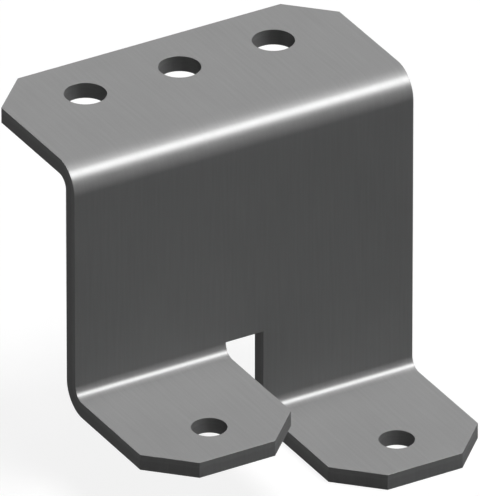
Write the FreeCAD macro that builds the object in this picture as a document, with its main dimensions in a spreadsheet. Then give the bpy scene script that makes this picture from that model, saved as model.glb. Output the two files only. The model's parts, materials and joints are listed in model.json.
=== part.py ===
import FreeCAD, Part
import math
import os

import Sketcher

# Stamped steel Z bracket, folded from one sheet: a flange with a row of three holes at the top, an
# upright web, and two tabs folded the other way at different heights, with one hole in each.
# Origin at the flange's middle hole on its top face, +X towards the tabs, +Y along the bracket,
# +Z up. All sizes are in millimetres.

SIZES = (
    ("sheet_thickness", 4, "thickness of the sheet"),
    ("bend_inner_radius", 3, "inside radius of the three folds"),
    ("bracket_length", 90, "length of the flange and web along Y"),
    ("flange_depth", 44, "flange's free edge to the web's front face"),
    ("tab_depth", 44, "tabs' free edges to the web's back face"),
    ("short_leg_height", 64, "flange's top face to the short leg tab's underside"),
    ("long_leg_height", 82, "flange's top face to the long leg tab's underside"),
    ("short_tab_width", 40, "width of the tab on the short leg; the long leg has the rest"),
    ("tab_gap", 10, "gap between the two tabs"),
    ("flange_corner_cut", 10, "45 degree cut at the flange's two free corners"),
    ("tab_corner_cut", 10, "45 degree cut at each tab's two free corners"),
    ("flange_hole_diameter", 10, "holes in the flange"),
    ("flange_hole_pitch", 25, "centre to centre in the row of three"),
    ("flange_hole_setback", 14, "flange's free edge to its holes' centres"),
    ("tab_hole_diameter", 8.4, "holes in the tabs, clearance for an M8 bolt"),
    ("tab_hole_setback", 13, "tabs' free edges to their holes' centres"),
)

# Places in the bracket's frame, as sums of the sizes above
FLANGE_EDGE_X = "-Sizes.flange_hole_setback"
WEB_FRONT_X = "(Sizes.flange_depth - Sizes.flange_hole_setback)"
WEB_BACK_X = f"({WEB_FRONT_X} - Sizes.sheet_thickness)"
TAB_EDGE_X = f"({WEB_BACK_X} + Sizes.tab_depth)"
TAB_HOLE_X = f"({TAB_EDGE_X} - Sizes.tab_hole_setback)"
BEND_OUTER_RADIUS = "(Sizes.sheet_thickness + Sizes.bend_inner_radius)"
FLANGE_TOP_Z = "0"
FLANGE_FOLD_END_Z = f"-{BEND_OUTER_RADIUS}"
WEB_EDGE_Z = f"({BEND_OUTER_RADIUS} - Sizes.short_leg_height)"
LENGTH = "Sizes.bracket_length"
SHORT_TAB_WIDTH = "Sizes.short_tab_width"
LONG_TAB_WIDTH = f"({LENGTH} - {SHORT_TAB_WIDTH} - Sizes.tab_gap)"
SHORT_TAB_RIGHT_Y = f"({SHORT_TAB_WIDTH} - {LENGTH} / 2)"
LONG_TAB_RIGHT_Y = f"{LENGTH} / 2"

POSITION_TOLERANCE = 1e-4

doc = FreeCAD.newDocument("bracket")


def add_sizes():
    """Writes the driving sizes into a sheet, one row each, with their names as aliases."""
    sheet = doc.addObject("Spreadsheet::Sheet", "Sizes")
    for row, (name, value, meaning) in enumerate(SIZES, start=1):
        sheet.set(f"A{row}", name)
        sheet.set(f"B{row}", str(value))
        sheet.set(f"C{row}", meaning)
        sheet.setAlias(f"B{row}", name)
    doc.recompute()
    return sheet


def number(body, expression):
    """The present value of an expression of the sizes."""
    return float(body.evalExpression(expression))


def origin_feature(body, role):
    """The body's own origin plane or axis with this role."""
    return next(f for f in body.Origin.OriginFeatures if f.Role == role)


def sketch_on(body, name, plane):
    sketch = body.newObject("Sketcher::SketchObject", name)
    sketch.AttachmentSupport = [(origin_feature(body, plane), "")]
    sketch.MapMode = "FlatFace"
    return sketch


def bind(sketch, name, constraint, expression):
    """Adds a dimension to a sketch and ties it to an expression of the sizes."""
    index = sketch.addConstraint(constraint)
    sketch.renameConstraint(index, name)
    sketch.setExpression(f"Constraints.{name}", expression)


def bent_section(body, name, fold_x, fold_z, flat_end_x, web_end_z):
    """Sketches the end view of a folded strip: an upright part and a flat part joined by a round fold.

    fold_x and fold_z say where the outer faces of the two parts would meet without the fold's
    radius. flat_end_x and web_end_z say where the two parts end.
    """
    sketch = sketch_on(body, name, "XZ_Plane")
    corner_x, corner_z = number(body, fold_x), number(body, fold_z)
    flat_end, web_end = number(body, flat_end_x), number(body, web_end_z)
    sheet = number(body, "Sizes.sheet_thickness")
    inner_radius = number(body, "Sizes.bend_inner_radius")
    outer_radius = sheet + inner_radius
    # A tab's fold is the flange's fold after half a turn
    side = math.copysign(1, flat_end - corner_x)
    start_angle = 0 if side < 0 else math.pi
    end_angle = start_angle + math.pi / 2

    def at(from_web, from_flat):
        return FreeCAD.Vector(corner_x + side * from_web, corner_z + side * from_flat, 0)

    def line(start, end):
        return sketch.addGeometry(Part.LineSegment(at(*start), at(*end)))

    def fold(radius):
        circle = Part.Circle(at(outer_radius, outer_radius), FreeCAD.Vector(0, 0, 1), radius)
        return sketch.addGeometry(Part.ArcOfCircle(circle, start_angle, end_angle))

    flat_length, web_length = abs(flat_end - corner_x), abs(web_end - corner_z)
    web_outside = line((0, web_length), (0, outer_radius))
    fold_outside = fold(outer_radius)
    flat_outside = line((outer_radius, 0), (flat_length, 0))
    flat_edge = line((flat_length, 0), (flat_length, sheet))
    flat_inside = line((flat_length, sheet), (outer_radius, sheet))
    fold_inside = fold(inner_radius)
    web_inside = line((sheet, outer_radius), (sheet, web_length))
    web_edge = line((sheet, web_length), (0, web_length))

    start, end, centre = 1, 2, 3
    sketch.addConstraint([
        Sketcher.Constraint("Tangent", web_outside, end, fold_outside, start),
        Sketcher.Constraint("Tangent", fold_outside, end, flat_outside, start),
        Sketcher.Constraint("Coincident", flat_outside, end, flat_edge, start),
        Sketcher.Constraint("Coincident", flat_edge, end, flat_inside, start),
        Sketcher.Constraint("Tangent", flat_inside, end, fold_inside, end),
        Sketcher.Constraint("Tangent", fold_inside, start, web_inside, start),
        Sketcher.Constraint("Coincident", web_inside, end, web_edge, start),
        Sketcher.Constraint("Coincident", web_edge, end, web_outside, start),
        Sketcher.Constraint("Coincident", fold_outside, centre, fold_inside, centre),
        Sketcher.Constraint("Vertical", web_outside),
        Sketcher.Constraint("Vertical", web_inside),
        Sketcher.Constraint("Vertical", flat_edge),
        Sketcher.Constraint("Horizontal", flat_outside),
        Sketcher.Constraint("Horizontal", flat_inside),
        Sketcher.Constraint("Horizontal", web_edge),
    ])
    zero = (-1, 1)
    bind(sketch, "sheet", Sketcher.Constraint("Distance", flat_edge, sheet), "Sizes.sheet_thickness")
    bind(sketch, "inside_radius", Sketcher.Constraint("Radius", fold_inside, inner_radius),
         "Sizes.bend_inner_radius")
    bind(sketch, "web_x", Sketcher.Constraint("DistanceX", *zero, web_outside, start, corner_x), fold_x)
    bind(sketch, "flat_z", Sketcher.Constraint("DistanceY", *zero, flat_outside, end, corner_z), fold_z)
    bind(sketch, "flat_end", Sketcher.Constraint("DistanceX", *zero, flat_outside, end, flat_end),
         flat_end_x)
    bind(sketch, "web_end", Sketcher.Constraint("DistanceY", *zero, web_outside, start, web_end),
         web_end_z)
    return sketch


def pad(body, name, sketch, length):
    feature = body.newObject("PartDesign::Pad", name)
    feature.Profile = sketch
    feature.Refine = True
    feature.setExpression("Length", length)
    return feature


def add_flange_and_web(body):
    """The full length: flange, its fold, and the web down to the short leg's fold."""
    section = bent_section(body, "FlangeSection", WEB_FRONT_X, FLANGE_TOP_Z, FLANGE_EDGE_X, WEB_EDGE_Z)
    feature = pad(body, "FlangeAndWeb", section, LENGTH)
    feature.SideType = "Symmetric"


def add_leg(body, name, height, width, right_y):
    """A leg from the flange's fold down to its tab, which is folded forward. It ends at right_y."""
    underside_z = f"-Sizes.{height}"
    section = bent_section(body, f"{name}Section", WEB_BACK_X, underside_z, TAB_EDGE_X, FLANGE_FOLD_END_Z)
    section.setExpression("AttachmentOffset.Base.z", f"-({right_y})")
    pad(body, name, section, width)


def cut_corners(body, name, edge_x, size):
    """Cuts every upright edge at edge_x, the free corners of a flange or tab, at 45 degrees."""
    doc.recompute()
    base = body.Tip
    corner_x = number(body, edge_x)
    corners = []
    for index, edge in enumerate(base.Shape.Edges, start=1):
        box = edge.BoundBox
        upright = box.XLength < POSITION_TOLERANCE and box.YLength < POSITION_TOLERANCE
        if upright and abs(box.XMin - corner_x) < POSITION_TOLERANCE:
            corners.append(f"Edge{index}")
    feature = body.newObject("PartDesign::Chamfer", name)
    feature.Base = (base, corners)
    feature.ChamferType = "Equal distance"
    feature.setExpression("Size", size)


def add_holes(body, name, diameter, centres):
    """Plain punched holes, straight down through the sheet below each centre."""
    doc.recompute()
    base = body.Tip
    sketch = sketch_on(body, f"{name}Centres", "XY_Plane")
    for index, (x, y) in enumerate(centres, start=1):
        centre = FreeCAD.Vector(number(body, x), number(body, y), 0)
        radius = number(body, diameter) / 2
        circle = sketch.addGeometry(Part.Circle(centre, FreeCAD.Vector(0, 0, 1), radius))
        bind(sketch, f"diameter{index}", Sketcher.Constraint("Diameter", circle, 2 * radius), diameter)
        bind(sketch, f"x{index}", Sketcher.Constraint("DistanceX", -1, 1, circle, 3, centre.x), x)
        bind(sketch, f"y{index}", Sketcher.Constraint("DistanceY", -1, 1, circle, 3, centre.y), y)
    feature = body.newObject("PartDesign::Hole", name)
    feature.Profile = sketch
    doc.recompute()
    feature.Threaded = False
    feature.DepthType = "ThroughAll"
    feature.setExpression("Diameter", diameter)
    doc.recompute()
    if feature.Shape.Volume >= base.Shape.Volume:
        raise RuntimeError(f"{name} cut nothing")
    return feature


def add_flange_holes(body):
    """The row of three: the left one, repeated along Y."""
    left = add_holes(body, "FlangeHole", "Sizes.flange_hole_diameter", [("0", "-Sizes.flange_hole_pitch")])
    row = body.newObject("PartDesign::LinearPattern", "FlangeHoles")
    row.Originals = [left]
    row.Direction = (origin_feature(body, "Y_Axis"), [""])
    row.Mode = "Spacing"
    row.setExpression("Offset", "Sizes.flange_hole_pitch")
    row.Occurrences = 3
    body.Tip = row


def add_tab_holes(body):
    """One hole on each tab's centre line."""
    short_y = f"({SHORT_TAB_RIGHT_Y} - {SHORT_TAB_WIDTH} / 2)"
    long_y = f"({LONG_TAB_RIGHT_Y} - {LONG_TAB_WIDTH} / 2)"
    add_holes(body, "TabHoles", "Sizes.tab_hole_diameter", [(TAB_HOLE_X, short_y), (TAB_HOLE_X, long_y)])


def make_bracket():
    body = doc.addObject("PartDesign::Body", "Bracket")
    body.Label = "bracket"
    add_flange_and_web(body)
    add_leg(body, "ShortLeg", "short_leg_height", SHORT_TAB_WIDTH, SHORT_TAB_RIGHT_Y)
    add_leg(body, "LongLeg", "long_leg_height", LONG_TAB_WIDTH, LONG_TAB_RIGHT_Y)
    cut_corners(body, "FlangeCorners", FLANGE_EDGE_X, "Sizes.flange_corner_cut")
    cut_corners(body, "TabCorners", TAB_EDGE_X, "Sizes.tab_corner_cut")
    add_flange_holes(body)
    add_tab_holes(body)
    return body


def check(bodies):
    """Stops if any feature failed or a body isn't one sound solid."""
    for item in doc.Objects:
        if {"Invalid", "Error"} & set(item.State):
            raise RuntimeError(f"{item.Label} failed: {item.State}")
    for body in bodies:
        if body.Shape.isNull() or not body.Shape.isValid() or len(body.Shape.Solids) != 1:
            raise RuntimeError(f"{body.Label} isn't one sound solid")


def main():
    os.makedirs("parts", exist_ok=True)
    add_sizes()
    bodies = [make_bracket()]
    doc.recompute()
    check(bodies)
    for body in bodies:
        body.Shape.exportStep(os.path.join("parts", f"{body.Label}.step"))


main()
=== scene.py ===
import json
import math

import bpy
from mathutils import Matrix, Vector


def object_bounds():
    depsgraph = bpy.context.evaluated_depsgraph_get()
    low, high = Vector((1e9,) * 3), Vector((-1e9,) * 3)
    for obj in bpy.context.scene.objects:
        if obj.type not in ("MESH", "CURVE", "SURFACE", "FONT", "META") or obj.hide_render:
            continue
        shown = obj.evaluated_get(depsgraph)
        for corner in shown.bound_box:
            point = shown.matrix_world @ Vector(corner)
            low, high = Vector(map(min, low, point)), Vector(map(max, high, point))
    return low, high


# The stamped bracket in satin grey steel, on a white studio floor. Lengths are in metres, in the
# row frame: origin at the flange's middle hole, +X towards the tabs, +Z up.

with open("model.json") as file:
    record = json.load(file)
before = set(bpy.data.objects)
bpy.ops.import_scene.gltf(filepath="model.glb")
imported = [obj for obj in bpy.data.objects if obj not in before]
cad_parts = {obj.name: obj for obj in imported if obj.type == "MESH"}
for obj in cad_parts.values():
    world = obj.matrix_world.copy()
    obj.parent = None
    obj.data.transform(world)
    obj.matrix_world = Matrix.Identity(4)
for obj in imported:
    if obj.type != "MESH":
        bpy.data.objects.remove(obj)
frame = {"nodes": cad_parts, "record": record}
cad_low, cad_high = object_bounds()
cad_centre = (cad_low + cad_high) / 2
mounts = {mount["name"]: mount for mount in frame["record"]["mounts"]}
short_tab = Vector(mounts["short_tab_face"]["pos_m"])
long_tab = Vector(mounts["long_tab_face"]["pos_m"])

MM = 0.001
WHITE = (1, 1, 1, 1)

# The folded sheet, as the CAD model has it, and the centre lines of its three folds. The visible
# skin is the flange's top, the web's front and the tops of the tabs.
SHEET = mounts["flange_hole_middle"]["dims"]["length_mm"] * MM
BEND_INNER_RADIUS = 3 * MM
BEND_OUTER_RADIUS = BEND_INNER_RADIUS + SHEET
BEND_MEAN_RADIUS = BEND_INNER_RADIUS + SHEET / 2
FLANGE_DEPTH = 44 * MM
WEB_FRONT = cad_low.x + FLANGE_DEPTH
TOP_FOLD_X = WEB_FRONT - BEND_OUTER_RADIUS
TOP_FOLD_Z = cad_high.z - BEND_OUTER_RADIUS
LOW_FOLD_X = WEB_FRONT + BEND_INNER_RADIUS
SHORT_FOLD_Z = short_tab.z + BEND_INNER_RADIUS
LONG_FOLD_Z = long_tab.z + BEND_INNER_RADIUS
WEB_MIDDLE = (TOP_FOLD_Z + SHORT_FOLD_Z) / 2
BETWEEN_LEGS = (short_tab.y + long_tab.y) / 2

# Edges: the facets of each flat are joined into one face, and the sharp edges are broken by a hair
WELD_DISTANCE = 0.001 * MM
FLAT_ANGLE = math.radians(0.5)
CREASE_ANGLE = math.radians(30)
EDGE_BREAK = 0.05 * MM
EDGE_SEGMENTS = 2

# Finish: a thin satin grey coat through which the sheet's rolled grain shows faintly, and sheared
# edges with a smooth and a torn band. A tint is a share of the colour.
STEEL_COLOUR = 0.300
STEEL_METALLIC = 0.05
STEEL_ROUGHNESS = 0.38
CLOUD_SIZE = 14 * MM
CLOUD_TINT = 0.07
CLOUD_ROUGHNESS = 0.03
GRAIN_LENGTH = 18 * MM
GRAIN_WIDTH = 0.7 * MM
GRAIN_DETAIL = 3.0
GRAIN_TINT = 0.15
GRAIN_ROUGHNESS = 0.10
GRAIN_HEIGHT = 0.004 * MM
GRIT_SIZE = 0.3 * MM
GRIT_DETAIL = 1.0
GRIT_TINT = 0.05
GRIT_ROUGHNESS = 0.06
GRIT_HEIGHT = 0.003 * MM

# Sheared edges: a surface is skin where it faces out of the sheet by more than the first number,
# from 0 to 1, and a sheared edge where by less than the second
SKIN_FACING = 0.8
SHEARED_FACING = 0.6
SMOOTH_BAND = 1.4 * MM
BAND_SOFTNESS = 0.25 * MM
BAND_WANDER = 0.9 * MM
BAND_WANDER_SIZE = 2.5 * MM
SMOOTH_BAND_TINT = 0.07
SMOOTH_BAND_ROUGHNESS = -0.05
TORN_BAND_TINT = -0.03
TORN_BAND_ROUGHNESS = 0.10
TEAR_SIZE = 0.35 * MM
TEAR_HEIGHT = 0.03 * MM

# Camera: the photograph is a parallel view, so a very long lens stands far back. The frame's
# height and the place of its centre are real sizes, measured across the view at the bracket.
CAMERA_AZIMUTH = math.radians(60)
CAMERA_ELEVATION = math.radians(30)
FRAME_HEIGHT = 114.40 * MM
FRAME_CENTRE_RIGHT = 13.93 * MM
FRAME_CENTRE_UP = -41.80 * MM
LENS_MM = 1600
SENSOR_MM = 36
CAMERA_DISTANCE = FRAME_HEIGHT * LENS_MM / SENSOR_MM

# Studio: a white floor that keeps a faint shadow, and large soft boxes so far away that the
# flange and the tabs below it are lit alike
FLOOR_COLOUR = 0.14
FLOOR_LIFT = 0.88
FLOOR_SIZE = 8.0
SKY_LIGHT = 0.03
LAMP_DISTANCE = 10.0


def view_axes(azimuth, elevation):
    """The directions to the right, up and back towards the camera."""
    right = Vector((math.cos(azimuth), math.sin(azimuth), 0))
    back = Vector((
        math.sin(azimuth) * math.cos(elevation),
        -math.cos(azimuth) * math.cos(elevation),
        math.sin(elevation),
    ))
    return right, back.cross(right), back


def add_camera():
    right, up, back = view_axes(CAMERA_AZIMUTH, CAMERA_ELEVATION)
    centre = (
        cad_centre
        + right * (FRAME_CENTRE_RIGHT - cad_centre.dot(right))
        + up * (FRAME_CENTRE_UP - cad_centre.dot(up))
    )
    data = bpy.data.cameras.new("camera")
    data.lens = LENS_MM
    data.sensor_width = SENSOR_MM
    camera = bpy.data.objects.new("camera", data)
    bpy.context.scene.collection.objects.link(camera)
    turn = Matrix((right, up, back)).transposed().to_4x4()
    camera.matrix_world = Matrix.Translation(centre + back * CAMERA_DISTANCE) @ turn
    bpy.context.scene.camera = camera


class Nodes:
    """Adds nodes to a node tree. An input is a number, a tuple of them or another node's output."""

    def __init__(self, tree):
        self.tree = tree

    def add(self, kind, inputs=(), **settings):
        node = self.tree.nodes.new(kind)
        for name, value in settings.items():
            setattr(node, name, value)
        self.fill(node, dict(inputs))
        return node

    def fill(self, node, inputs):
        """Gives a node its inputs, by their names or numbers."""
        for name, value in inputs.items():
            if isinstance(value, bpy.types.NodeSocket):
                self.tree.links.new(value, node.inputs[name])
            else:
                node.inputs[name].default_value = value

    def calc(self, operation, *values, clamp=False):
        node = self.add("ShaderNodeMath", enumerate(values), operation=operation, use_clamp=clamp)
        return node.outputs[0]

    def past(self, value, start):
        """How far value is past start, and 0 before it."""
        return self.calc("MAXIMUM", self.calc("SUBTRACT", value, start), 0.0)

    def total(self, *values):
        result = values[0]
        for value in values[1:]:
            result = self.calc("ADD", result, value)
        return result

    def layered(self, base, *layers):
        """The base, plus the pattern of each layer times its strength."""
        for pattern, strength in layers:
            base = self.calc("MULTIPLY_ADD", pattern, strength, base)
        return base

    def vector(self, x, y, z):
        return self.add("ShaderNodeCombineXYZ", {"X": x, "Y": y, "Z": z}).outputs[0]

    def vector_calc(self, operation, *vectors):
        return self.add("ShaderNodeVectorMath", enumerate(vectors), operation=operation).outputs

    def mix(self, data_type, factor, low, high):
        """low where factor is 0, and high where it is 1. Each data type has sockets of its own."""
        first, second, result = {"FLOAT": (2, 3, 0), "VECTOR": (4, 5, 1)}[data_type]
        inputs = {"Factor": factor, first: low, second: high}
        return self.add("ShaderNodeMix", inputs, data_type=data_type).outputs[result]

    def step(self, value, start, end):
        """0 up to start, 1 from end on, and smooth between them. end may be the lower one."""
        inputs = {"Value": value, "From Min": start, "From Max": end}
        node = self.add("ShaderNodeMapRange", inputs, interpolation_type="SMOOTHSTEP")
        return node.outputs["Result"]

    def noise(self, position, sizes, detail=2.0):
        """Noise about 0, between about -0.5 and 0.5. sizes are those of its features, per axis."""
        scale = tuple(1 / size for size in sizes)
        scaled = self.vector_calc("MULTIPLY", position, scale)[0]
        texture = self.add("ShaderNodeTexNoise", {"Vector": scaled, "Scale": 1.0, "Detail": detail})
        return self.calc("SUBTRACT", texture.outputs["Fac"], 0.5)


def new_material(name):
    """A material, its nodes and its shader."""
    material = bpy.data.materials.new(name)
    material.use_nodes = True
    return material, Nodes(material.node_tree), material.node_tree.nodes["Principled BSDF"]


def seen_directly(nodes):
    """1 for rays from the camera, a mirror or glass, 0 for the rays that light other surfaces."""
    path = nodes.add("ShaderNodeLightPath").outputs
    seen = nodes.calc("ADD", path["Is Camera Ray"], path["Is Glossy Ray"], clamp=True)
    return nodes.calc("ADD", seen, path["Is Transmission Ray"], clamp=True)


def add_floor():
    """A white sheet under the longer leg. It keeps the bracket's shadow."""
    mesh = bpy.data.meshes.new("floor")
    half = FLOOR_SIZE / 2
    corners = [(-half, -half, 0), (half, -half, 0), (half, half, 0), (-half, half, 0)]
    mesh.from_pydata(corners, [], [(0, 1, 2, 3)])
    floor = bpy.data.objects.new("floor", mesh)
    floor.location.z = cad_low.z
    bpy.context.scene.collection.objects.link(floor)
    material, nodes, shader = new_material("floor")
    nodes.fill(shader, {
        "Base Color": (FLOOR_COLOUR, FLOOR_COLOUR, FLOOR_COLOUR, 1),
        "Roughness": 1,
        "Specular IOR Level": 0,
        "Emission Color": WHITE,
        "Emission Strength": nodes.calc("MULTIPLY", seen_directly(nodes), FLOOR_LIFT),
    })
    mesh.materials.append(material)


def add_sky():
    """White where it is seen, with little light of its own."""
    world = bpy.data.worlds.new("studio")
    bpy.context.scene.world = world
    world.use_nodes = True
    nodes = Nodes(world.node_tree)
    nodes.fill(world.node_tree.nodes["Background"], {
        "Color": WHITE,
        "Strength": nodes.calc("MAXIMUM", seen_directly(nodes), SKY_LIGHT),
    })


def add_softbox(name, direction, width, height, radiance, lights_colour=True):
    """A rectangular lamp that faces the bracket. radiance is its brightness when looked at."""
    direction = Vector(direction).normalized()
    data = bpy.data.lights.new(name, "AREA")
    data.shape = "RECTANGLE"
    data.size, data.size_y = width, height
    data.energy = radiance * math.pi * width * height
    lamp = bpy.data.objects.new(name, data)
    bpy.context.scene.collection.objects.link(lamp)
    lamp.location = cad_centre + direction * LAMP_DISTANCE
    lamp.rotation_mode = "QUATERNION"
    lamp.rotation_quaternion = direction.to_track_quat("Z", "Y")
    lamp.visible_camera = False
    lamp.visible_diffuse = lights_colour


def add_studio_light():
    # From above, for the flange and the tabs and, at a slant, the web's front
    add_softbox("overhead_softbox", direction=(0.108, 0.24, 1), width=4.0, height=4.0, radiance=19.1)
    # From behind, for the web's back and, at a slant, the sheet's edges on the short leg's side
    add_softbox("back_softbox", direction=(-1, -0.13, 0), width=5.0, height=1.6, radiance=16.0)
    # Seen in the gloss alone, as the bright line along each fold
    add_softbox(
        "highlight_strip", direction=(0.507, 0.439, 0.741), width=2.75, height=4.25, radiance=150,
        lights_colour=False,
    )


def sheet_coordinates(nodes):
    """The place in the flat blank, as the sheet was before it was folded.

    Gives the vector (length along the sheet, width, depth under the visible skin), the depth by
    itself, and how far the surface faces out of the sheet: 1 on both skins, 0 on a sheared edge.
    """
    place = nodes.add("ShaderNodeTexCoord")
    x, y, z = nodes.add("ShaderNodeSeparateXYZ", {0: place.outputs["Object"]}).outputs
    is_long = nodes.calc("GREATER_THAN", y, BETWEEN_LEGS)
    low_fold_z = nodes.calc("MULTIPLY_ADD", is_long, LONG_FOLD_Z - SHORT_FOLD_Z, SHORT_FOLD_Z)

    # Outwards from each fold's centre, with no part that runs along the flat on either side
    past_top_x = nodes.past(x, TOP_FOLD_X)
    past_top_z = nodes.past(z, TOP_FOLD_Z)
    past_low_x = nodes.past(LOW_FOLD_X, x)
    past_low_z = nodes.past(low_fold_z, z)

    # The length is 0 where the flange meets its fold, and less than 0 on the flange
    flange_run = nodes.calc("MULTIPLY", nodes.past(TOP_FOLD_X, x), -1.0)
    top_bend = nodes.calc("MULTIPLY", nodes.calc("ARCTAN2", past_top_x, past_top_z), BEND_MEAN_RADIUS)
    web_run = nodes.past(TOP_FOLD_Z, nodes.calc("MAXIMUM", z, low_fold_z))
    low_bend = nodes.calc("MULTIPLY", nodes.calc("ARCTAN2", past_low_z, past_low_x), BEND_MEAN_RADIUS)
    tab_run = nodes.past(x, LOW_FOLD_X)
    length = nodes.total(flange_run, top_bend, web_run, low_bend, tab_run)

    is_upper = nodes.calc("GREATER_THAN", z, WEB_MIDDLE)
    from_low_fold = nodes.vector(past_low_x, 0.0, past_low_z)
    from_top_fold = nodes.vector(past_top_x, 0.0, past_top_z)
    outwards = nodes.mix("VECTOR", is_upper, from_low_fold, from_top_fold)
    radius = nodes.vector_calc("LENGTH", outwards)["Value"]
    lower_depth = nodes.calc("SUBTRACT", radius, BEND_INNER_RADIUS)
    upper_depth = nodes.calc("SUBTRACT", BEND_OUTER_RADIUS, radius)
    depth = nodes.mix("FLOAT", is_upper, lower_depth, upper_depth)

    through = nodes.vector_calc("NORMALIZE", outwards)[0]
    facing = nodes.vector_calc("DOT_PRODUCT", through, place.outputs["Normal"])["Value"]
    return nodes.vector(length, y, depth), depth, nodes.calc("ABSOLUTE", facing)


def sheared_bands(nodes, blank, depth, facing):
    """Where a sheared edge is smooth, next to the visible skin, and where it is torn, below that."""
    sheared = nodes.step(facing, SKIN_FACING, SHEARED_FACING)
    wander = nodes.noise(blank, (BAND_WANDER_SIZE, BAND_WANDER_SIZE, SHEET))
    band_depth = nodes.calc("MULTIPLY_ADD", wander, BAND_WANDER, depth)
    below = nodes.step(band_depth, SMOOTH_BAND - BAND_SOFTNESS, SMOOTH_BAND + BAND_SOFTNESS)
    torn = nodes.calc("MULTIPLY", sheared, below)
    return nodes.calc("SUBTRACT", sheared, torn), torn


def satin_steel():
    material, nodes, shader = new_material("satin_steel")
    blank, depth, facing = sheet_coordinates(nodes)
    clouds = nodes.noise(blank, (CLOUD_SIZE, CLOUD_SIZE, CLOUD_SIZE))
    grain = nodes.noise(blank, (GRAIN_LENGTH, GRAIN_WIDTH, GRAIN_LENGTH), GRAIN_DETAIL)
    grit = nodes.noise(blank, (GRIT_SIZE, GRIT_SIZE, GRIT_SIZE), GRIT_DETAIL)
    smooth, torn = sheared_bands(nodes, blank, depth, facing)
    tears = nodes.calc("MULTIPLY", nodes.noise(blank, (TEAR_SIZE, TEAR_SIZE, SHEET)), torn)

    tint = nodes.layered(
        1.0,
        (clouds, CLOUD_TINT),
        (grain, GRAIN_TINT),
        (grit, GRIT_TINT),
        (smooth, SMOOTH_BAND_TINT),
        (torn, TORN_BAND_TINT),
    )
    roughness = nodes.layered(
        STEEL_ROUGHNESS,
        (clouds, CLOUD_ROUGHNESS),
        (grain, GRAIN_ROUGHNESS),
        (grit, GRIT_ROUGHNESS),
        (smooth, SMOOTH_BAND_ROUGHNESS),
        (torn, TORN_BAND_ROUGHNESS),
    )
    height = nodes.layered(0.0, (grain, GRAIN_HEIGHT), (grit, GRIT_HEIGHT), (tears, TEAR_HEIGHT))
    bump = nodes.add("ShaderNodeBump", {"Height": height, "Strength": 1.0, "Distance": 1.0})
    grey = nodes.calc("MULTIPLY", tint, STEEL_COLOUR)
    nodes.fill(shader, {
        "Base Color": nodes.vector(grey, grey, grey),
        "Roughness": roughness,
        "Normal": bump.outputs[0],
        "Metallic": STEEL_METALLIC,
        "Specular IOR Level": 0,
    })
    return material


def dress_bracket():
    """Breaks the sharp edges by a hair, and gives the folded sheet its finish."""
    bracket = frame["nodes"]["bracket"]
    weld = bracket.modifiers.new("weld", "WELD")
    weld.merge_threshold = WELD_DISTANCE
    flats = bracket.modifiers.new("whole_flats", "DECIMATE")
    flats.decimate_type = "DISSOLVE"
    flats.angle_limit = FLAT_ANGLE
    edges = bracket.modifiers.new("broken_edges", "BEVEL")
    edges.limit_method = "ANGLE"
    edges.angle_limit = CREASE_ANGLE
    edges.width = EDGE_BREAK
    edges.segments = EDGE_SEGMENTS
    bracket.modifiers.new("flat_faces", "WEIGHTED_NORMAL").keep_sharp = False
    bracket.data.materials.clear()
    bracket.data.materials.append(satin_steel())


add_camera()
add_floor()
add_sky()
add_studio_light()
dress_bracket()

scene = bpy.context.scene
scene.view_settings.view_transform = "Standard"
